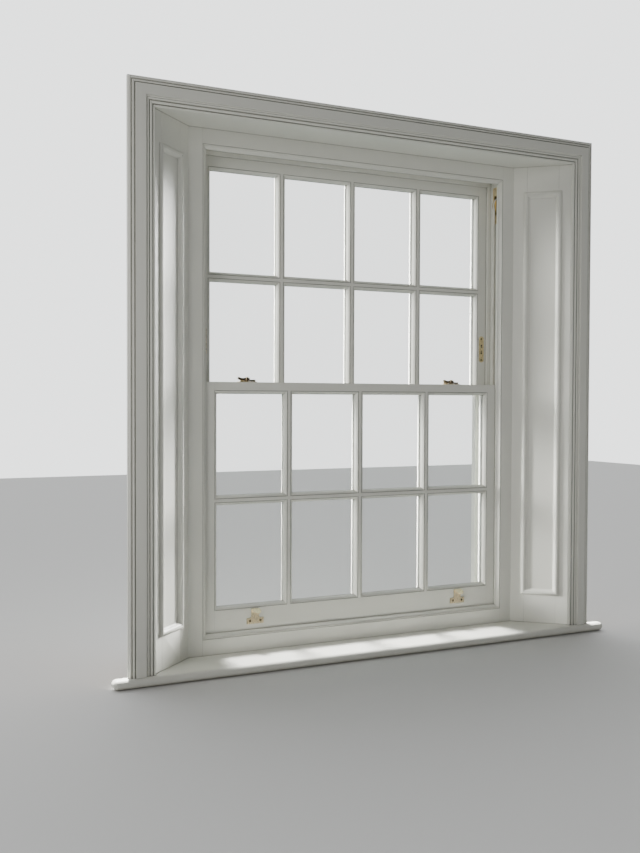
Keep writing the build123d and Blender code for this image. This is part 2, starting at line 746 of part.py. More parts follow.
# The meeting rails are thicker than the sashes. Their bevelled faces close on each other
# between the parting beads.
rail_arris = meeting_rail_height - moulding_width
with BuildPart() as lower_meeting_rail:
    extrude(sash_member(run((0, lower_face, meeting_top), (0, 0, -1)), meeting_rail_height,
                        back=((0, bevel_depth(meeting_top)), (0, bevel_depth(meeting_top - rail_arris)))),
            amount=meeting_reach, both=True)
    shoulder_meeting_rail(lower_face)
    clear_of(lower_sash_stiles)
lower_meeting_rail.part.label = "lower_meeting_rail"

with BuildPart() as lower_upright_bars:
    upright_bars(lower_face, lower_foot + bottom_rail_height)
    clear_of(lower_bottom_rail, lower_meeting_rail)
lower_upright_bars.part.label = "lower_upright_bars"

with BuildPart() as lower_cross_bars:
    cross_bar(lower_face, lower_foot + bottom_rail_height)
    clear_of(lower_sash_stiles, lower_upright_bars)
lower_cross_bars.part.label = "lower_cross_bars"

with BuildPart() as lower_panes:
    panes(lower_face, lower_foot + bottom_rail_height)
lower_panes.part.label = "lower_panes"

with BuildPart() as lower_putty:
    putty(lower_face, lower_foot + bottom_rail_height)
lower_putty.part.label = "lower_putty"

with BuildPart() as upper_sash_stiles:
    sash_stiles(upper_face, meeting_foot, upper_top, upper_knot_drop)
    for side in (-1, 1):
        with BuildSketch(Plane((side * stop_centre, upper_face, meeting_top + stop_level), x_dir=RIGHT,
                               z_dir=OUTDOORS)):
            SlotOverall(stop_plate[1], stop_plate[0], rotation=90)
        extrude(amount=stop_sinking, mode=Mode.SUBTRACT)
upper_sash_stiles.part.label = "upper_sash_stiles"

with BuildPart() as upper_top_rail:
    extrude(sash_member(run((0, upper_face, upper_top), (0, 0, -1)), top_rail_height),
            amount=rail_end, both=True)
    clear_of(upper_sash_stiles)
upper_top_rail.part.label = "upper_top_rail"

reach_foot, reach_top = [bevel_depth(level) + bevel_gap + lower_face - upper_face
                         for level in (meeting_foot, meeting_top)]
with BuildPart() as upper_meeting_rail:
    extrude(sash_member(run((0, upper_face, meeting_foot), (0, 0, 1)), meeting_rail_height,
                        back=((reach_foot, sash_thickness), (reach_top, sash_thickness)), square=True),
            amount=meeting_reach, both=True)
    shoulder_meeting_rail(upper_face)
    clear_of(upper_sash_stiles)
upper_meeting_rail.part.label = "upper_meeting_rail"

with BuildPart() as upper_upright_bars:
    upright_bars(upper_face, meeting_top)
    clear_of(upper_top_rail, upper_meeting_rail)
upper_upright_bars.part.label = "upper_upright_bars"

with BuildPart() as upper_cross_bars:
    cross_bar(upper_face, meeting_top)
    clear_of(upper_sash_stiles, upper_upright_bars)
upper_cross_bars.part.label = "upper_cross_bars"

with BuildPart() as upper_panes:
    panes(upper_face, meeting_top)
upper_panes.part.label = "upper_panes"

with BuildPart() as upper_putty:
    putty(upper_face, meeting_top)
upper_putty.part.label = "upper_putty"

# A hook lift is one brass plate: a foot with two screws, hollowed shoulders, and a neck that
# turns over into a round-ended finger tab, which droops a little.
bend_end = radians(90 - lift_droop)
with BuildPart() as lifts:
    for across in lift_places:
        bend_foot = lift_height - lift_bend
        with BuildSketch(Plane((across, lower_face, lift_foot), x_dir=RIGHT, z_dir=INDOORS)):
            with BuildLine():
                foot, neck, rise = lift_plate[0] / 2, lift_neck / 2, lift_plate[1]
                flank, shoulder = neck + lift_shoulder, rise + lift_shoulder
                Polyline((-flank, rise), (-foot, rise), (-foot, 0), (foot, 0), (foot, rise), (flank, rise))
                RadiusArc((flank, rise), (neck, shoulder), lift_shoulder)
                Polyline((neck, shoulder), (neck, bend_foot), (-neck, bend_foot), (-neck, shoulder))
                RadiusArc((-neck, shoulder), (-flank, rise), lift_shoulder)
            make_face()
        extrude(amount=lift_thickness)
        side_on = Plane((across, lower_face, lift_foot + bend_foot), x_dir=INDOORS, z_dir=LEFT)
        with BuildSketch(side_on):
            with BuildLine():
                outer, inner = [CenterArc((lift_bend, 0), radius, 90 - lift_droop, 90 + lift_droop)
                                for radius in (lift_bend, lift_bend - lift_thickness)]
                Line(outer @ 0, inner @ 0)
                Line(outer @ 1, inner @ 1)
            make_face()
        extrude(amount=lift_neck / 2, both=True)
        tab_root = side_on.from_local_coords(
            Vector(lift_bend + lift_bend * cos(bend_end), lift_bend * sin(bend_end), 0))
        with BuildSketch(Plane(tab_root, x_dir=RIGHT, z_dir=(0, -cos(bend_end), sin(bend_end)))):
            with BuildLine():
                half, tip = lift_tab[0] / 2, lift_tab[1] - lift_tab[0] / 2
                Polyline((half, -tip), (half, -3), (neck, 0), (-neck, 0), (-half, -3), (-half, -tip))
                ThreePointArc((-half, -tip), (0, -lift_tab[1]), (half, -tip))
            make_face()
        extrude(amount=-lift_thickness)
lifts.part.label = "lifts"

# The fastener stands on the lower meeting rail: a base plate with a riveted pivot, and a lever
# with a thumb end and a low tongue that swings under the keeper's lip on the upper sash.
pivot_line = lower_face + fastener_set_back
lever_foot = meeting_top + fastener_plate[2] + lever_gap
with BuildPart() as fastener_bases:
    for across in fastener_places:
        seat = Plane((across, pivot_line, meeting_top))
        with BuildSketch(seat):
            RectangleRounded(fastener_plate[0], fastener_plate[1], 3)
        extrude(amount=fastener_plate[2])
        with BuildSketch(seat):
            Circle(pivot_radius)
        extrude(amount=14)
        with BuildSketch(seat.offset(14)):
            Circle(pivot_radius + 1.6)
        extrude(amount=1.4)
fastener_bases.part.label = "fastener_bases"

levers = []
for name, across in zip(("fastener_lever_left", "fastener_lever_right"), fastener_places):
    with BuildPart() as lever:
        seat = Plane((across, pivot_line, lever_foot))
        with BuildSketch(seat):
            Circle(hub_radius)
        extrude(amount=10)
        with BuildSketch(seat):
            with BuildLine():
                Polyline((0, 4.5), (tongue_reach - 4.5, 4.5))
                ThreePointArc((tongue_reach - 4.5, 4.5), (tongue_reach, 0), (tongue_reach - 4.5, -4.5))
                Polyline((tongue_reach - 4.5, -4.5), (0, -4.5), (0, 4.5))
            make_face()
        extrude(amount=5)
        with BuildSketch(Plane(seat.origin, x_dir=LEFT, z_dir=OUTDOORS)):
            with BuildLine():
                Polyline((0, 3), (thumb_reach - 9, 3))
                Spline((thumb_reach - 9, 3), (thumb_reach - 4, 4.5), (thumb_reach, 9))
                Polyline((thumb_reach, 9), (thumb_reach - 1.5, 12.5))
                Spline((thumb_reach - 1.5, 12.5), (thumb_reach - 8, 10), (hub_radius, 9.5))
                Polyline((hub_radius, 9.5), (0, 9.5), (0, 3))
            make_face()
        extrude(amount=4.5, both=True)
        with BuildSketch(seat):
            Circle(pivot_radius + bore_ease)
        extrude(amount=10, mode=Mode.SUBTRACT)
    lever.part.label = name
    levers.append(lever)

keeper_face = upper_face - 0.8
lip_foot = lever_foot + 5 + 1.2
with BuildPart() as keepers:
    for across in fastener_places:
        with BuildSketch(Plane((across, keeper_face, meeting_top), x_dir=OUTDOORS, z_dir=RIGHT)):
            with BuildLine():
                top = lip_foot - meeting_top
                depth, base = keeper_plate[1], keeper_plate[2]
                Polyline((0, 0), (depth, 0), (depth, top + keeper_lip), (4, top + keeper_lip), (4, top),
                         (depth - 3, top), (depth - 3, base), (0, base), close=True)
            make_face()
        extrude(amount=keeper_plate[0] / 2 - 2, both=True)
keepers.part.label = "keepers"

# A sash-stop plate is let into each stile of the upper sash. A stop bolt hooks into either of
# its two keyholes, whose slots point at each other.
with BuildPart() as sash_stops:
    for side in (-1, 1):
        plate_face = upper_face + stop_sinking - stop_plate[2]
        plate = Plane((side * stop_centre, plate_face, meeting_top + stop_level),
                      x_dir=RIGHT, z_dir=OUTDOORS)
        with BuildSketch(plate):
            SlotOverall(stop_plate[1], stop_plate[0], rotation=90)
            eye, eye_place, slot = keyhole
            with Locations((0, eye_place), (0, -eye_place)):
                Circle(eye, mode=Mode.SUBTRACT)
            with Locations((0, eye_place - slot / 2), (0, slot / 2 - eye_place)):
                Rectangle(eye, slot, mode=Mode.SUBTRACT)
        extrude(amount=stop_plate[2])
sash_stops.part.label = "sash_stops"

# Cast-iron weights hang in the boxes. A cord passes down through the eye in a weight's top and
# is knotted in the pocket cast in its side.
lower_weight_top = pulley_level - weight_hang
upper_weight_top = lower_weight_top - sash_travel
weights = []
for name, side, middle, top in (("lower_weight_left", -1, lower_middle, lower_weight_top),
                                ("lower_weight_right", 1, lower_middle, lower_weight_top),
                                ("upper_weight_left", -1, upper_middle, upper_weight_top),
                                ("upper_weight_right", 1, upper_middle, upper_weight_top)):
    with BuildPart() as weight:
        with BuildSketch(Plane((side * weight_line, middle, top - weight_length))):
            Circle(weight_radius)
        extrude(amount=weight_length)
        chamfer(weight.edges().group_by(Axis.Z)[-1], length=8, length2=10)
        with BuildSketch(Plane((side * weight_line, middle, top))):
            Circle(cord_radius + eye_ease)
        extrude(amount=-eye_depth - 2, mode=Mode.SUBTRACT)
        pocket_sides = sorted((side * (weight_line - 8), side * (weight_line + weight_radius)))
        block(pocket_sides, (middle - 8, middle + 8), (top - eye_depth - 20, top - eye_depth),
              Mode.SUBTRACT)
    weight.part.label = name
    weights.append(weight)


# Each cord runs from its knot in the sash's edge up to the pulley, over it and down to the weight.
def sash_cords(middle, knot_level, weight_top):
    for side in (-1, 1):
        knot = (side * (cord_line - knot_radius + cord_radius), middle, knot_level)
        rise, fall = side * cord_line, side * weight_line
        weight_knot = weight_top - eye_depth - weight_knot_radius - eye_ease
        with BuildLine() as path:
            crown = (side * axle_line, middle, pulley_level + pulley_pitch)
            Line((rise, middle, knot_level), (rise, middle, pulley_level))
            ThreePointArc((rise, middle, pulley_level), crown, (fall, middle, pulley_level))
            Line((fall, middle, pulley_level), (fall, middle, weight_knot))
        with BuildSketch(Plane((rise, middle, knot_level))) as section:
            Circle(cord_radius)
        sweep(section.sketch, path=path.wires()[0])
        with Locations(knot):
            Sphere(knot_radius)
        with Locations((fall, middle, weight_knot)):
            Sphere(weight_knot_radius)


with BuildPart() as lower_sash_cords:
    sash_cords(lower_middle, meeting_top - lower_knot_drop, lower_weight_top)
lower_sash_cords.part.label = "lower_sash_cords"

with BuildPart() as upper_sash_cords:
    sash_cords(upper_middle, upper_top - upper_knot_drop, upper_weight_top)
upper_sash_cords.part.label = "upper_sash_cords"

pieces = [sill, head, pulley_stiles, pocket_pieces, inner_linings, inner_lining_head, outer_linings,
          outer_lining_head, back_linings, parting_slips, parting_beads, parting_bead_head,
          staff_beads, staff_bead_head, staff_bead_bottom, splay_stiles_right, splay_rails_right,
          splay_panel_right, splay_moulding_right, splay_stiles_left, splay_rails_left,
          splay_panel_left, splay_moulding_left, soffit_lining, window_board, architrave_right,
          architrave_left, architrave_head, pulley_cases, *wheels, lower_sash_stiles,
          lower_bottom_rail, lower_meeting_rail, lower_upright_bars, lower_cross_bars, lower_panes,
          lower_putty, upper_sash_stiles, upper_top_rail, upper_meeting_rail, upper_upright_bars,
          upper_cross_bars, upper_panes, upper_putty, lifts, fastener_bases, *levers, keepers,
          sash_stops, *weights, lower_sash_cords, upper_sash_cords]
for piece in pieces:
    export_step(piece.part, f"parts/{piece.part.label}.step")
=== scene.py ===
import math

import bmesh
import bpy
from mathutils import Matrix, Vector


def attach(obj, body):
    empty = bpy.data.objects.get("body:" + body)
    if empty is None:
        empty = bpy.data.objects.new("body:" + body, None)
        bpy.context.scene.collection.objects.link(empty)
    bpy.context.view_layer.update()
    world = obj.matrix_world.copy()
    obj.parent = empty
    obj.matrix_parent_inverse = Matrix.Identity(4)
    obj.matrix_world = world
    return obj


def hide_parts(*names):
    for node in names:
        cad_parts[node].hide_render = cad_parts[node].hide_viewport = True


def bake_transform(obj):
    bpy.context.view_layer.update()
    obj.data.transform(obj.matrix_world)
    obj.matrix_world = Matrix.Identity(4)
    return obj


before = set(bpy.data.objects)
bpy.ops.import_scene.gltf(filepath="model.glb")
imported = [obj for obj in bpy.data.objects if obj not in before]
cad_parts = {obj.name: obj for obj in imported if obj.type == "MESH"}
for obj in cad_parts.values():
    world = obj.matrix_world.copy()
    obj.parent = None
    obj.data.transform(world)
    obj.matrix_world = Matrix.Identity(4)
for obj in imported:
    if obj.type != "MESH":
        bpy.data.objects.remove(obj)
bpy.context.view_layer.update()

# The view from the room
# The window is seen from the room, from the left and a little below its meeting rails. The lens
# and the place come from the window's own straight lines.
camera_place = (-1.417, -2.603, 0.7321)
focal_pixels, picture_height, film = 1000, 853, 36
turn, dip, lean = math.radians(26.1), math.radians(-1.5), math.radians(0.2)
ahead = Vector((math.sin(turn) * math.cos(dip), math.cos(turn) * math.cos(dip), math.sin(dip)))
level_right = Vector((math.cos(turn), -math.sin(turn), 0))
level_up = level_right.cross(ahead)
right = level_right * math.cos(lean) + level_up * math.sin(lean)
up = level_up * math.cos(lean) - level_right * math.sin(lean)
camera = bpy.data.objects.new("room_view", bpy.data.cameras.new("room_view"))
bpy.context.collection.objects.link(camera)
camera.matrix_world = Matrix.Translation(camera_place) @ Matrix((right, up, -ahead)).transposed().to_4x4()
camera.data.lens = focal_pixels * film / picture_height
camera.data.clip_start = 0.05
bpy.context.scene.camera = camera

# The studio
# A pale floor and a sky that is bright outdoors and dim in the room. Soft lamps outdoors add the
# daylight on the board, the splays and the sashes. Each lights its own pieces alone, so that the
# outdoor side isn't glaring; a weak lamp in the room lights everything.
world = bpy.data.worlds.new("studio")
bpy.context.scene.world = world
world.use_nodes = True
sky = world.node_tree.nodes["Background"]
sky.inputs["Color"].default_value = (0.95, 0.97, 0.97, 1)
heading = world.node_tree.nodes.new("ShaderNodeTexCoord")
towards_day = world.node_tree.nodes.new("ShaderNodeVectorMath")
towards_day.operation = "DOT_PRODUCT"
towards_day.inputs[1].default_value = (0, 1.0, 0)
day_strength = world.node_tree.nodes.new("ShaderNodeMapRange")
day_strength.interpolation_type = "SMOOTHSTEP"
for socket, value in (("From Min", 0.05), ("From Max", 0.55), ("To Min", 0.16), ("To Max", 2.5)):
    day_strength.inputs[socket].default_value = value
world.node_tree.links.new(heading.outputs["Generated"], towards_day.inputs[0])
world.node_tree.links.new(towards_day.outputs["Value"], day_strength.inputs["Value"])
world.node_tree.links.new(day_strength.outputs["Result"], sky.inputs["Strength"])


def lit_pieces(title, *names):
    pieces = bpy.data.collections.new(title)
    for name in names:
        pieces.objects.link(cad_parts[name])
    return pieces


def soft_light(name, place, target, width, height, spread, power, colour, lit=None):
    lamp = bpy.data.objects.new(name, bpy.data.lights.new(name, "AREA"))
    bpy.context.collection.objects.link(lamp)
    lamp.data.shape = "RECTANGLE"
    lamp.data.size, lamp.data.size_y = width, height
    lamp.data.energy = power
    lamp.data.color = colour
    lamp.data.spread = math.radians(spread)
    lamp.visible_camera = False
    if lit:
        lamp.light_linking.receiver_collection = lit
    lamp.location = place
    lamp.rotation_euler = (Vector(target) - Vector(place)).to_track_quat("-Z", "Y").to_euler()


board_pieces = lit_pieces("lit_board", "window_board", "staff_bead_bottom")
left_splay = lit_pieces("lit_left_side", "splay_stiles_left", "splay_rails_left", "splay_panel_left",
                        "splay_moulding_left")
right_splay = lit_pieces("lit_right_side", "splay_stiles_right", "splay_rails_right", "splay_panel_right",
                         "splay_moulding_right")
sash_timber = lit_pieces("lit_sashes", "lower_sash_stiles", "upper_sash_stiles", "lower_bottom_rail",
                         "upper_top_rail", "lower_meeting_rail", "upper_meeting_rail", "lower_upright_bars",
                         "upper_upright_bars", "lower_cross_bars", "upper_cross_bars", "staff_beads")
daylight = (1.0, 1.0, 0.98)
soft_light("high_daylight", (-0.05, 1.5, 2.7), (0, -0.1, 0.02), 1.2, 0.8, 22, 105, daylight, board_pieces)
soft_light("daylight_from_left", (-2.3, 1.2, 1.5), (0.6, -0.06, 0.5), 1.2, 1.8, 36, 230, daylight,
           right_splay)
soft_light("daylight_from_right", (2.3, 1.2, 1.5), (-0.6, -0.06, 0.5), 1.2, 1.8, 36, 470, daylight,
           left_splay)
soft_light("daylight_on_sashes", (-2.4, 0.75, 1.3), (0.3, 0.05, 0.75), 0.8, 1.4, 40, 85, daylight,
           sash_timber)
soft_light("room_light", (-2.6, -1.8, 1.6), (-0.2, 0, 0.7), 1.2, 1.2, 60, 4, (1.0, 0.98, 0.96))

floor_size, floor_level = 7.0, -0.001
floor_mesh = bpy.data.meshes.new("studio_floor")
floor_mesh.from_pydata([(x * floor_size, y * floor_size, floor_level)
                        for x, y in ((-1, -1), (1, -1), (1, 1), (-1, 1))], [], [(0, 1, 2, 3)])
studio_floor = bpy.data.objects.new("studio_floor", floor_mesh)
bpy.context.collection.objects.link(studio_floor)
floor_paint = bpy.data.materials.new("studio_floor")
floor_paint.use_nodes = True
floor_paint.node_tree.nodes["Principled BSDF"].inputs["Base Color"].default_value = (0.66, 0.655, 0.65, 1)
floor_paint.node_tree.nodes["Principled BSDF"].inputs["Roughness"].default_value = 0.85
floor_mesh.materials.append(floor_paint)

# The box frame's painted joinery
# Softwood boards nailed and housed together, brush-painted in an off-white satin. What shows in
# the room is painted; the backs, which stand against the masonry, are bare timber.
paint_colour = (0.80, 0.80, 0.73)
# The colour the paint takes where corners are darkened with painted shade and a little dust.
paint_in_dust_and_shade = (0.58, 0.57, 0.49)
bare_pine = (0.60, 0.42, 0.24)
bare_pine_dark = (0.40, 0.24, 0.12)


class Value:
    """A shader socket whose sums, products and comparisons are Math nodes."""

    def __init__(self, finish, socket):
        self.finish, self.socket = finish, socket

    def maths(self, operation, *terms):
        sockets = {place: term for place, term in enumerate(terms)}
        return self.finish.node("ShaderNodeMath", {"operation": operation}, sockets)

    def __add__(self, other):
        return self.maths("ADD", self, other)

    def __sub__(self, other):
        return self.maths("SUBTRACT", self, other)

    def __mul__(self, other):
        return self.maths("MULTIPLY", self, other)

    def __rsub__(self, other):
        return self.maths("SUBTRACT", other, self)

    def __gt__(self, other):
        return self.maths("GREATER_THAN", self, other)

    __radd__, __rmul__ = __add__, __mul__

    def size(self):
        return self.maths("ABSOLUTE", self)

    def clear(self, low, high):
        """0 below low and 1 above high, with a soft step between."""
        return self.finish.node("ShaderNodeMapRange", {"interpolation_type": "SMOOTHSTEP"},
                                {"Value": self, "From Min": low, "From Max": high})


class Finish:
    """A material and its nodes."""

    def __init__(self, name, **constants):
        self.material = bpy.data.materials.new(name)
        self.material.use_nodes = True
        self.nodes = self.material.node_tree.nodes
        self.shader = self.nodes["Principled BSDF"]
        for socket, value in constants.items():
            self.shader.inputs[socket.replace("_", " ")].default_value = value

    def feed(self, socket, value):
        if isinstance(value, Value):
            self.material.node_tree.links.new(value.socket, socket)
        elif isinstance(value, tuple) and len(value) == 3 and socket.type == "RGBA":
            socket.default_value = (*value, 1)
        else:
            socket.default_value = value

    def node(self, kind, settings=None, sockets=None, output=0):
        made = self.nodes.new(kind)
        for setting, value in (settings or {}).items():
            if setting == "stops":
                ramp = made.color_ramp.elements
                while len(ramp) < len(value):
                    ramp.new(0.5)
                for stop, (place, colour) in zip(ramp, value):
                    stop.position, stop.color = place, (*colour, 1)
            else:
                setattr(made, setting, value)
        for socket, value in (sockets or {}).items():
            self.feed(made.inputs[socket], value)
        return Value(self, made.outputs[output])

    def place(self):
        return self.node("ShaderNodeTexCoord", output=3)

    def axes(self, vector):
        split = self.node("ShaderNodeSeparateXYZ", None, {"Vector": vector})
        return [Value(self, output) for output in split.socket.node.outputs]

    def stretched(self, vector, scale):
        return self.node("ShaderNodeVectorMath", {"operation": "MULTIPLY"}, {0: vector, 1: scale})

    def noise(self, vector, scale, detail=4.0, roughness=0.5):
        return self.node("ShaderNodeTexNoise", None, {"Vector": vector, "Scale": scale, "Detail": detail,
                                                      "Roughness": roughness})

    def mix(self, factor, low, high):
        return self.node("ShaderNodeMix", {"data_type": "RGBA"}, {0: factor, 6: low, 7: high}, output=2)

    def bump(self, height, strength, distance):
        return self.node("ShaderNodeBump", None,
                         {"Height": height, "Strength": strength, "Distance": distance})

    def set(self, **inputs):
        for socket, value in inputs.items():
            self.feed(self.shader.inputs[socket.replace("_", " ")], value)
        return self.material


def across_grain(axis, along, across):
    """Scale that stretches a pattern along one axis."""
    return tuple(along if number == axis else across for number in range(3))


def joinery_paint(name, axis, bare=None, wear=0.0, joints=()):
    """Brushed satin paint over timber along an axis, with painted shade in its corners. bare is the way the
    bare backs face.
    """
    finish = Finish(name, Specular_IOR_Level=0.45)
    place = finish.place()
    strokes = finish.noise(finish.stretched(place, across_grain(axis, 7.0, 420.0)), 1.0, 3.0, 0.6)
    fine = finish.noise(finish.stretched(place, across_grain(axis, 30.0, 1500.0)), 1.0, 2.0, 0.5)
    uneven = finish.noise(place, 9.0, 3.0, 0.55)
    # Ambient occlusion over 18 mm and 4 mm: it darkens corners and quirks below as painted shade.
    crevice_shade = 1 - finish.node("ShaderNodeAmbientOcclusion", {"samples": 6}, {"Distance": 0.018}, output=1)
    hairline_shade = 1 - finish.node("ShaderNodeAmbientOcclusion", {"samples": 8}, {"Distance": 0.004}, output=1)
    # Painted shade with some dust: corners are darkened, unevenly along their length.
    dust_and_corner_shade = (crevice_shade * 1.5 + (uneven - 0.5) * 0.5).clear(0.45, 1.35)
    colour = finish.mix(dust_and_corner_shade * 0.6, paint_colour, paint_in_dust_and_shade)
    # Quirks, gaps and narrow crevices are darkened nearly to black: painted shadow lines.
    colour = finish.mix(hairline_shade.clear(0.25, 0.65) * 0.9, colour, (0.13, 0.12, 0.09))
    colour = finish.mix((uneven.clear(0.35, 0.75)) * 0.12, colour, (0.86, 0.85, 0.80))
    colour = finish.mix((strokes.clear(0.3, 0.8)) * 0.06, colour, (0.66, 0.66, 0.62))
    for line_axis, line_place in joints:
        coordinate = finish.axes(place)[line_axis]
        crack = 1 - ((coordinate.size() - line_place).size()).clear(0.00012, 0.0006)
        broken = finish.noise(place, 120.0, 2.0).clear(0.42, 0.62)
        colour = finish.mix(crack * broken * 0.55, colour, (0.36, 0.34, 0.28))
    rough = 0.33 + uneven * 0.10 + strokes * 0.08 + dust_and_corner_shade * 0.2
    height = strokes * 0.6 + fine * 0.25 + uneven * 0.8
    if wear:
        chips = finish.noise(place, 46.0, 5.0, 0.65).clear(0.71 - wear * 0.05, 0.73)
        edges = finish.noise(place, 7.0, 2.0).clear(0.5, 0.62)
        colour = finish.mix(chips * edges * 0.7, colour, (0.62, 0.55, 0.42))
        height = height - chips * edges * 1.5
    if bare:
        facing = finish.node("ShaderNodeVectorMath", {"operation": "DOT_PRODUCT"},
                             {0: finish.node("ShaderNodeNewGeometry", output=1), 1: bare}, output=1)
        back = facing > 0.95
        rings = finish.node("ShaderNodeTexWave", {"wave_type": "RINGS", "rings_direction": "XYZ"[axis]},
                            {"Vector": finish.stretched(place, across_grain(axis, 0.12, 1.0)), "Scale": 34.0,
                             "Distortion": 9.0, "Detail": 3.0, "Detail Scale": 1.6}, output=1)
        pine = finish.mix(rings, bare_pine, bare_pine_dark)
        pine = finish.mix(strokes.clear(0.35, 0.75) * 0.5, pine, (0.68, 0.52, 0.33))
        colour = finish.mix(back, colour, pine)
        rough = rough + back * 0.35
    return finish.set(Base_Color=colour, Roughness=rough, Normal=finish.bump(height, 0.22, 0.0006))


def dress(material, *names, soften=0.0007):
    """Give CAD pieces their finish, and take the sharpness off their arrises."""
    for name in names:
        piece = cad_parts[name]
        piece.data.materials.clear()
        piece.data.materials.append(material)
        if soften:
            weld = piece.modifiers.new("one_skin", "WELD")
            weld.merge_threshold = 0.00001
            arris = piece.modifiers.new("arris", "BEVEL")
            arris.width, arris.segments = soften, 2
            arris.limit_method, arris.angle_limit = "ANGLE", math.radians(40)
            arris.harden_normals = False


pulley_stile_face = 0.5
dress(joinery_paint("upright_joinery_paint", 2, bare=(0, 1, 0)), "inner_linings")
dress(joinery_paint("lining_head_paint", 0, bare=(0, 1, 0)), "inner_lining_head")
dress(joinery_paint("pulley_stile_paint", 2), "pulley_stiles", "pocket_pieces", "parting_beads",
      "outer_linings")
dress(joinery_paint("box_head_paint", 0, bare=(0, 0, 1)), "head", "outer_lining_head", "parting_bead_head")
dress(joinery_paint("sill_paint", 0, bare=(0, 0, -1), joints=((0, pulley_stile_face),)), "sill",
      soften=0.0012)
dress(joinery_paint("staff_bead_paint", 2, wear=0.3), "staff_beads", soften=0.0005)
dress(joinery_paint("level_bead_paint", 0, wear=0.3), "staff_bead_head", "staff_bead_bottom", soften=0.0005)

# The weight boxes' backs and slips
# Thin unpainted softwood: the back linings close the boxes towards the masonry, and a slip hangs
# between the two weights of each box.
pine_light = (0.66, 0.47, 0.27)
pine_late = (0.45, 0.27, 0.13)
box_pine = Finish("weight_box_pine")
pine_place = box_pine.place()
pine_rings = box_pine.node("ShaderNodeTexWave", {"wave_type": "BANDS", "bands_direction": "Y"},
                           {"Vector": box_pine.stretched(pine_place, (1.0, 1.0, 0.06)), "Scale": 26.0,
                            "Distortion": 6.0, "Detail": 3.0, "Detail Scale": 1.5}, output=1)
pine_fibre = box_pine.noise(box_pine.stretched(pine_place, (600.0, 600.0, 9.0)), 1.0, 3.0)
pine_stain = box_pine.noise(pine_place, 5.0, 4.0)
pine_tone = box_pine.mix(pine_rings, pine_light, pine_late)
pine_tone = box_pine.mix(pine_stain.clear(0.45, 0.75) * 0.5, pine_tone, (0.33, 0.25, 0.17))
box_pine_material = box_pine.set(Base_Color=pine_tone, Roughness=0.72 + pine_fibre * 0.15,
                                 Normal=box_pine.bump(pine_fibre + pine_rings * 0.4, 0.3, 0.0005))
dress(box_pine_material, "back_linings", "parting_slips")

# The splayed reveal
# Framed linings nailed to rough grounds: two stiles and two rails round a sunk flat panel. A
# raised moulding, mitred round it, covers the joint. Every corner is darkened with painted shade.
for hand, side in (("left", -1), ("right", 1)):
    towards_masonry = (side * 0.6744, 0.7384, 0)
    dress(joinery_paint(f"{hand}_splay_paint", 2, bare=towards_masonry), f"splay_stiles_{hand}",
          f"splay_panel_{hand}")
    dress(joinery_paint(f"{hand}_splay_rail_paint", 0, bare=towards_masonry), f"splay_rails_{hand}")
dress(joinery_paint("panel_moulding_paint", 2), "splay_moulding_left", "splay_moulding_right", soften=0.0003)
dress(joinery_paint("level_joinery_paint", 0, bare=(0, 0, 1)), "soffit_lining")

# Window board and architraves
# The board is a thick softwood plank with a half-round nosing, tongued into the sill; its front
# has the most knocks. The architraves are run mouldings, mitred at the head.
dress(joinery_paint("window_board_paint", 0, bare=(0, 0, -1), wear=0.7), "window_board", soften=0)
dress(joinery_paint("architrave_paint", 2, bare=(0, 1, 0)), "architrave_left", "architrave_right",
      soften=0.0003)
dress(joinery_paint("head_architrave_paint", 0, bare=(0, 1, 0)), "architrave_head", soften=0.0003)

# The sashes' timber
# Both sashes are mortised and tenoned softwood with an ovolo on the room side. Bars and rails
# are scribed over the mouldings they meet, so each joint is a hairline in the paint.
shoulder = 0.459
half_bar = 0.0092
dress(joinery_paint("sash_upright_paint", 2), "lower_sash_stiles", "upper_sash_stiles", soften=0.0006)
dress(joinery_paint("bottom_rail_paint", 0, wear=0.6, joints=((0, shoulder),)), "lower_bottom_rail",
      soften=0.0006)
dress(joinery_paint("sash_rail_paint", 0, joints=((0, shoulder),)), "lower_meeting_rail", "upper_top_rail",
      "upper_meeting_rail", soften=0.0006)
dress(joinery_paint("glazing_bar_paint", 2), "lower_upright_bars", "upper_upright_bars", soften=0.0004)
dress(joinery_paint("cross_bar_paint", 0, joints=((0, half_bar),)), "lower_cross_bars", "upper_cross_bars",
      soften=0.0004)

# Panes and putty
# Thin old-fashioned glass, very slightly wavy, bedded in linseed putty that is struck off at an
# angle outdoors and painted with the sash.
pane_tint = (0.80, 0.90, 0.87)
glass = Finish("pane_glass", Roughness=0.02, IOR=1.5)
glass_place = glass.place()
gloss = glass.node("ShaderNodeFresnel", None, {"IOR": 1.5})
smear = glass.noise(glass.stretched(glass_place, (3.0, 3.0, 5.0)), 1.6, 3.0, 0.55)
specks = glass.noise(glass_place, 700.0, 2.0).clear(0.70, 0.76)
glass_colour = glass.mix(specks * 0.6, pane_tint, (0.62, 0.60, 0.54))
waves = glass.noise(glass.stretched(glass_place, (1.0, 1.0, 0.35)), 13.0, 1.0)
pane_glass = glass.set(Base_Color=glass_colour, Alpha=0.05 + gloss * 0.75 + smear * 0.03 + specks * 0.12,
                       Normal=glass.bump(waves, 0.12, 0.002))
dress(pane_glass, "lower_panes", "upper_panes", soften=0)

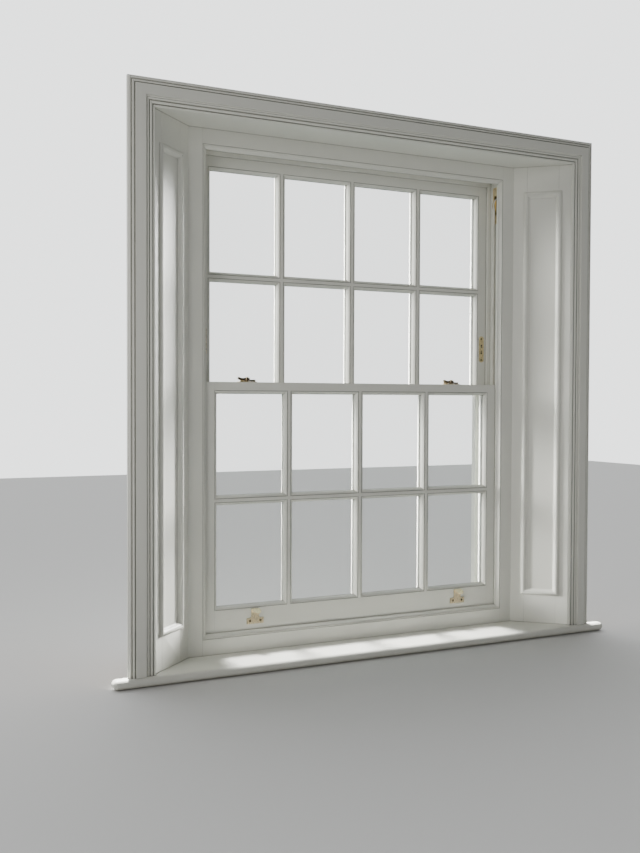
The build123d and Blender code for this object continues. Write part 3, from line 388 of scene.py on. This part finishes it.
putty = Finish("struck_putty")
putty_place = putty.place()
putty_lumps = putty.noise(putty_place, 60.0, 4.0)
putty_cracks = putty.node("ShaderNodeTexVoronoi", {"feature": "DISTANCE_TO_EDGE"},
                          {"Vector": putty_place, "Scale": 38.0})
putty_split = 1 - putty_cracks.clear(0.0, 0.02)
putty_colour = putty.mix(putty_lumps.clear(0.4, 0.7) * 0.4, (0.78, 0.775, 0.73), (0.70, 0.68, 0.61))
putty_colour = putty.mix(putty_split * 0.4, putty_colour, (0.42, 0.38, 0.30))
struck_putty = putty.set(Base_Color=putty_colour, Roughness=0.5 + putty_lumps * 0.2,
                         Normal=putty.bump(putty_lumps - putty_split * 0.5, 0.3, 0.0008))
dress(struck_putty, "lower_putty", "upper_putty", soften=0)

# Brass fittings
# Sheet and cast brass, once polished: hook lifts on the bottom rail, stop plates let into the
# upper stiles, keepers, fastener bases and pulley cases, all held by slotted brass screws.
brass_light = (0.97, 0.82, 0.53)
brass_dull = (0.52, 0.36, 0.16)
screw_slot = 0.0009


def brass_finish(name, light, dull, tarnish):
    finish = Finish(name, Metallic=1.0)
    place = finish.place()
    scratches = finish.noise(finish.stretched(place, (900.0, 900.0, 160.0)), 1.0, 3.0, 0.6)
    cloud = finish.noise(place, 130.0, 4.0, 0.6)
    corner_patina_and_shade = 1 - finish.node("ShaderNodeAmbientOcclusion", {"samples": 6}, {"Distance": 0.004}, output=1)
    # Tarnish gathers in the hollows and where the polish doesn't reach.
    dirt = (corner_patina_and_shade + (cloud - 0.5) * 0.6 + tarnish - 0.5).clear(0.15, 0.8)
    colour = finish.mix(dirt, light, dull)
    # Tight corners and the edges where a fitting meets the timber are darkened nearly to black: painted
    # shade.
    colour = finish.mix(corner_patina_and_shade.clear(0.42, 0.62) * 0.9, colour, (0.03, 0.022, 0.012))
    return finish.set(Base_Color=colour, Roughness=0.2 + scratches * 0.14 + dirt * 0.25,
                      Normal=finish.bump(scratches, 0.1, 0.0002))


polished_brass = brass_finish("polished_brass", brass_light, brass_dull, 0.35)
dress(polished_brass, "lifts", "keepers", "sash_stops", "fastener_bases", "pulley_cases", soften=0.00035)
bronzed = brass_finish("bronzed_lever", (0.20, 0.155, 0.10), (0.07, 0.055, 0.04), 0.5)
dress(bronzed, "fastener_lever_left", "fastener_lever_right", soften=0.0005)
dress(brass_finish("pulley_brass", (0.72, 0.55, 0.28), (0.33, 0.23, 0.11), 0.55), "lower_pulley_left",
      "lower_pulley_right", "upper_pulley_left", "upper_pulley_right", soften=0.0004)


def slotted_screws(name, body, places, outwards, radius, material):
    """Countersunk screws with a raised head and a slot, each turned to its own angle."""
    head = bmesh.new()
    outwards = Vector(outwards)
    for number, place in enumerate(places):
        angle = math.radians(17 + 67 * number)
        stand = outwards.to_track_quat("Z", "Y").to_matrix().to_4x4()
        frame_of_head = Matrix.Translation(place) @ stand @ Matrix.Rotation(angle, 4, "Z")
        rings = 16
        for side in (-1, 1):
            rows = []
            for reach, height in ((0.0, 0.00035), (0.45, 0.0003), (0.8, 0.00016), (1.0, 0.0)):
                row = []
                for step in range(rings + 1):
                    bend = math.pi * step / rings
                    x = math.cos(bend) * radius * reach
                    y = max(math.sin(bend) * radius * reach, screw_slot / 2) * side
                    row.append(head.verts.new(frame_of_head @ Vector((x, y, height))))
                rows.append(row)
            for inner, outer in zip(rows, rows[1:]):
                for step in range(rings):
                    corners = [inner[step], outer[step], outer[step + 1], inner[step + 1]]
                    head.faces.new(corners if side > 0 else corners[::-1])
        floor = [head.verts.new(frame_of_head @ Vector((x, y, -0.0005)))
                 for x, y in ((-radius, -screw_slot / 2), (radius, -screw_slot / 2),
                              (radius, screw_slot / 2), (-radius, screw_slot / 2))]
        head.faces.new(floor)
    bmesh.ops.remove_doubles(head, verts=head.verts, dist=0.000005)
    mesh = bpy.data.meshes.new(name)
    head.to_mesh(mesh)
    head.free()
    mesh.shade_smooth()
    mesh.materials.append(material)
    screws = bpy.data.objects.new(name, mesh)
    bpy.context.collection.objects.link(screws)
    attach(screws, body)
    return screws


dark_screw = brass_finish("dark_screw", (0.05, 0.036, 0.02), (0.02, 0.015, 0.01), 0.6)
lower_face, upper_face = 0.0175, 0.0735
meeting_top = 0.7826
lift_middles, lift_screw_level, lift_screw_spread = (-0.337, 0.348), 0.1062, 0.016
slotted_screws("lift_screws", "lower_sash",
               [(middle + side * lift_screw_spread, lower_face - 0.0027, lift_screw_level)
                for middle in lift_middles for side in (-1, 1)], (0, -1, 0), 0.0035, dark_screw)
fastener_middle, fastener_screw_spread, pivot_line = 0.347, 0.0215, 0.056
slotted_screws("fastener_screws", "lower_sash",
               [(hand * fastener_middle + side * fastener_screw_spread, pivot_line, meeting_top + 0.00255)
                for hand in (-1, 1) for side in (-1, 1)], (0, 0, 1), 0.0026, polished_brass)
stop_middle, stop_level = 0.4728, meeting_top + 0.1156
slotted_screws("stop_screws", "upper_sash",
               [(side * stop_middle, upper_face - 0.00085, stop_level + rise) for side in (-1, 1)
                for rise in (-0.034, 0.033)], (0, -1, 0), 0.0028, dark_screw)

# Near-black sheets fill the keyholes of the stop plates just behind their faces: painted shade standing for
# the dark mortices chopped behind them.
keyhole_shade_finish = Finish("keyhole_painted_shade")
keyhole_shade_grain = keyhole_shade_finish.noise(keyhole_shade_finish.stretched(keyhole_shade_finish.place(), (500.0, 500.0, 60.0)), 1.0, 3.0)
keyhole_shade_colour = keyhole_shade_finish.mix(keyhole_shade_grain, (0.012, 0.010, 0.008), (0.035, 0.026, 0.018))
keyhole_shade_material = keyhole_shade_finish.set(Base_Color=keyhole_shade_colour, Roughness=0.85 + keyhole_shade_grain * 0.1,
                           Normal=keyhole_shade_finish.bump(keyhole_shade_grain, 0.4, 0.0005))
eye_radius, eye_rise, keyhole_slot = 0.0030, 0.0125, 0.0085
keyholes = bmesh.new()
for side in (-1, 1):
    for way in (-1, 1):
        outline = []
        for step in range(25):
            angle = math.radians(-60 + 300 * step / 24)
            outline.append((math.cos(angle) * eye_radius, math.sin(angle) * eye_radius + eye_rise))
        outline += [(-eye_radius / 2, eye_rise - keyhole_slot), (eye_radius / 2, eye_rise - keyhole_slot)]
        keyholes.faces.new([keyholes.verts.new((side * stop_middle + x * 0.985, upper_face + 0.0008,
                                                stop_level + way * z)) for x, z in outline])
bmesh.ops.recalc_face_normals(keyholes, faces=keyholes.faces)
keyhole_shade_mesh = bpy.data.meshes.new("keyhole_shade_sheets")
keyholes.to_mesh(keyhole_shade_mesh)
keyholes.free()
keyhole_shade_mesh.materials.append(keyhole_shade_material)
keyhole_shade_sheets = bpy.data.objects.new("keyhole_shade_sheets", keyhole_shade_mesh)
bpy.context.collection.objects.link(keyhole_shade_sheets)
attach(keyhole_shade_sheets, "upper_sash")

pulley_level = 1.3556
for name, side in (("left_pulley_screws", -1), ("right_pulley_screws", 1)):
    slotted_screws(name, "frame", [(side * (pulley_stile_face - 0.00005), middle, pulley_level + rise)
                                   for middle in (0.04, 0.096) for rise in (-0.049, 0.049)],
                   (-side, 0, 0), 0.0032, polished_brass)

# Weights
# Rough-cast iron, rusty where the air in the boxes is damp. Each hangs by the cord knotted in its
# side pocket.
rust = Finish("cast_weight", Metallic=0.55)
rust_place = rust.place()
rust_grain = rust.noise(rust_place, 220.0, 4.0, 0.6)
rust_patch = rust.noise(rust_place, 24.0, 5.0, 0.6).clear(0.42, 0.66)
rust_colour = rust.mix(rust_patch, (0.10, 0.095, 0.09), (0.26, 0.12, 0.055))
cast_iron = rust.set(Base_Color=rust_colour, Roughness=0.6 + rust_patch * 0.25,
                     Normal=rust.bump(rust_grain + rust_patch * 0.4, 0.5, 0.0009))
dress(cast_iron, "lower_weight_left", "lower_weight_right", "upper_weight_left", "upper_weight_right",
      soften=0.0008)

# Sash cords
# Braided waxed cotton. Each cord lies in the groove of its sash, turns over the pulley and drops
# to its weight.
cord_radius = 0.0035
cord_line, axle_line, weight_line = 0.4945, 0.5205, 0.5465
pitch = 0.026
strands, plait_lay = 8, 0.024
sash_knot_radius, knot_radius, eye_depth = 0.0072, 0.0065, 0.028
cotton = Finish("braided_cotton")
cotton_place = cotton.place()
cotton_fibre = cotton.noise(cotton.stretched(cotton_place, (900.0, 900.0, 300.0)), 1.0, 3.0)
cotton_grime = cotton.noise(cotton_place, 14.0, 4.0)
cotton_colour = cotton.mix(cotton_grime.clear(0.4, 0.7) * 0.6, (0.80, 0.78, 0.71), (0.62, 0.59, 0.51))
cotton_colour = cotton.mix(cotton_fibre.clear(0.55, 0.8) * 0.3, cotton_colour, (0.84, 0.81, 0.73))
sash_cord = cotton.set(Base_Color=cotton_colour, Roughness=0.8 + cotton_fibre * 0.1,
                       Normal=cotton.bump(cotton_fibre, 0.3, 0.0004))


def plaited(name, centre_line, ends_in=None):
    """Plaited cord along (point, direction) pairs; a knot may close its last end."""
    around = 20
    skin = bmesh.new()
    rows, travelled, last = [], 0.0, None
    for point, direction in centre_line:
        travelled += (point - last).length if last else 0.0
        last = point
        side = Vector((0, 1, 0))
        front = direction.cross(side).normalized()
        row = []
        for step in range(around):
            angle = 2 * math.pi * step / around
            plait = math.sin(strands / 2 * angle + 2 * math.pi * travelled / plait_lay) \
                * math.sin(strands / 2 * angle - 2 * math.pi * travelled / plait_lay)
            reach = cord_radius * (0.96 + 0.04 * plait)
            row.append(skin.verts.new(point + (side * math.cos(angle) + front * math.sin(angle)) * reach))
        rows.append(row)
    for row, following in zip(rows, rows[1:]):
        for step in range(around):
            after = (step + 1) % around
            skin.faces.new((row[step], row[after], following[after], following[step]))
    skin.faces.new(rows[0][::-1])
    skin.faces.new(rows[-1])
    bmesh.ops.recalc_face_normals(skin, faces=skin.faces)
    if ends_in:
        place, radius = ends_in
        bulb = bmesh.ops.create_uvsphere(skin, u_segments=28, v_segments=20, radius=radius)["verts"]
        for point in bulb:
            turned = math.atan2(point.co.y, point.co.x) * 2 + point.co.z / radius * 3.2
            point.co *= 1 - 0.10 * (0.5 + 0.5 * math.sin(turned * 1.5))
            point.co = point.co + Vector(place)
    mesh = bpy.data.meshes.new(name)
    skin.to_mesh(mesh)
    skin.free()
    mesh.shade_smooth()
    mesh.materials.append(sash_cord)
    cord = bpy.data.objects.new(name, mesh)
    bpy.context.collection.objects.link(cord)
    return cord


def straight(across, middle, low, high, step=0.003):
    count = max(2, round((high - low) / step))
    return [(Vector((across, middle, low + (high - low) * number / count)), Vector((0, 0, 1)))
            for number in range(count + 1)]


for sash, middle, knot_level, weight_top in (("lower", 0.040, 0.5826, 1.2936),
                                             ("upper", 0.096, 1.1491, 0.7336)):
    weight_knot = weight_top - eye_depth - knot_radius - 0.0003
    for side, hand in ((-1, "left"), (1, "right")):
        run = plaited(f"{sash}_cord_{hand}_sash_run",
                      straight(side * cord_line, middle, knot_level, pulley_level),
                      ((side * (cord_line - 0.004), middle, knot_level), sash_knot_radius))
        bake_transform(run)
        turn_points = []
        for number in range(41):
            angle = math.pi * number / 40
            turn_points.append((Vector((side * (axle_line - pitch * math.cos(angle)), middle,
                                        pulley_level + pitch * math.sin(angle))),
                                Vector((side * math.sin(angle), 0, math.cos(angle)))))
        over = plaited(f"{sash}_cord_{hand}_turn", turn_points)
        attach(over, "frame")
        drop = plaited(f"{sash}_cord_{hand}_weight_run",
                       straight(side * weight_line, middle, weight_knot, pulley_level),
                       ((side * weight_line, middle, weight_knot), knot_radius - 0.0002))
        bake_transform(drop)
        if side == 1:
            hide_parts(f"{sash}_sash_cords")
